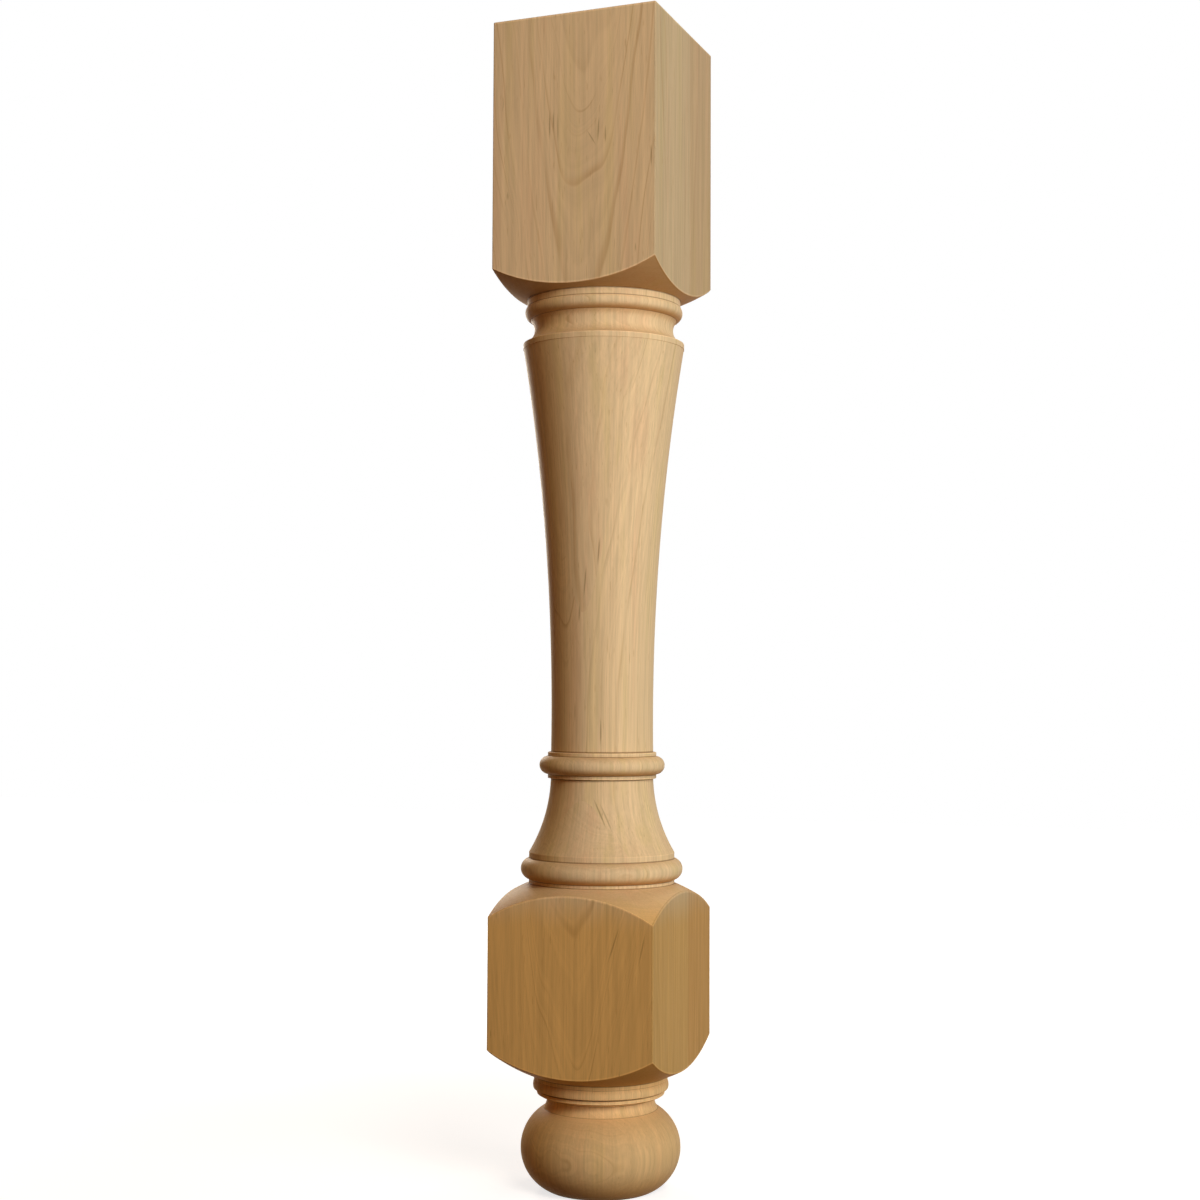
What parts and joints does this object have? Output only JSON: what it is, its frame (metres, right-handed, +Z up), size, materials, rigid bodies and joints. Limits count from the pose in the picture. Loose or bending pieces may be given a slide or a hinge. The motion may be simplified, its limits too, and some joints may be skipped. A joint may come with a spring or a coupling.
{
  "type": "kitchen island leg",
  "caption": "Turned wooden leg with a square top, a hollow tapered shaft, a bell, a lower square and a ball foot, to carry a kitchen island worktop.",
  "frame": {"origin": "on the floor, at the middle of the foot's flat sole", "axes": "+Z up the leg's axis to the worktop; X and Y square to the flat faces of the two squares"},
  "size_m": [0.1302, 0.1302, 0.8763],
  "materials": {
    "maple": "sanded smooth and left unfinished"
  },
  "bodies": {
    "root": {"island_leg": "maple"}
  },
  "joints": []
}
